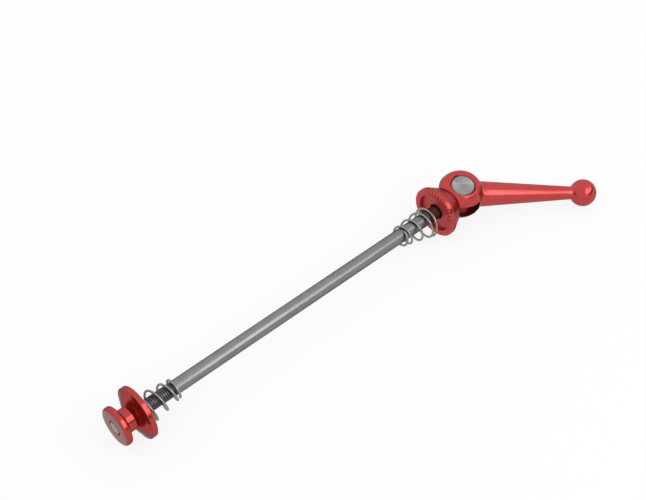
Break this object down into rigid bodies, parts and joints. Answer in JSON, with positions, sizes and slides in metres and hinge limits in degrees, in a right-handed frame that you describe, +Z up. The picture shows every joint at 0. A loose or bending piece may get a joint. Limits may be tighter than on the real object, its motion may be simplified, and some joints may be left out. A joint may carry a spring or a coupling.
{
  "type": "quick release skewer",
  "caption": "Bicycle quick release skewer: steel rod with cam lever, ball-seat cap, conical springs and a spool-shaped nut; clamps a wheel hub in its fork.",
  "frame": {"origin": "centre of the bounding box on the table, as the skewer comes to rest on the rims of the nut and the cap and on the lever's end ball", "axes": "+X along the rod from the nut to the lever, +Z up from the table, the lever reaches towards -Y"},
  "size_m": [0.196, 0.0404, 0.019],
  "materials": {
    "rod_steel": "satin grey steel",
    "pin_steel": "turned steel",
    "red_anodised": "red anodised, satin",
    "spring_wire": "drawn wire"
  },
  "bodies": {
    "rod": {"skewer_rod": "rod_steel", "cross_pin": "pin_steel"},
    "lever": {"lever": "red_anodised"},
    "cap": {"lever_cap": "red_anodised"},
    "spring": {"lever_spring": "spring_wire"},
    "nut_travel": {"nut_spring": "spring_wire"},
    "nut": {"nut": "red_anodised"}
  },
  "joints": [
    {"name": "lever_swing", "type": "hinge", "parent": "rod", "child": "lever", "pos_m": [0.05538, 0.0107, 0.0095], "axis": [0, -0.1726, 0.985], "range_deg": [-54.3, 125.7]},
    {"name": "cap_push", "type": "slide", "parent": "rod", "child": "cap", "axis": [1, 0, 0], "range_m": [-0.00084, 0.00036]},
    {"name": "spring_slide", "type": "slide", "parent": "rod", "child": "spring", "axis": [1, 0, 0], "range_m": [-0.088, 0.0027]},
    {"name": "nut_slide", "type": "slide", "parent": "rod", "child": "nut_travel", "axis": [1, 0, 0], "range_m": [-0.00401, 0.01001]},
    {"name": "nut_turn", "type": "hinge", "parent": "nut_travel", "child": "nut", "pos_m": [-0.08784, 0.0107, 0.0095], "axis": [1, 0, 0], "range_deg": [-1800, 4500]}
  ],
  "couplings": [
    {"joint": "cap_push", "follows": "lever_swing", "m_per_rad": -0.00038197},
    {"joint": "nut_slide", "follows": "nut_turn", "m_per_rad": 0.00012732}
  ]
}
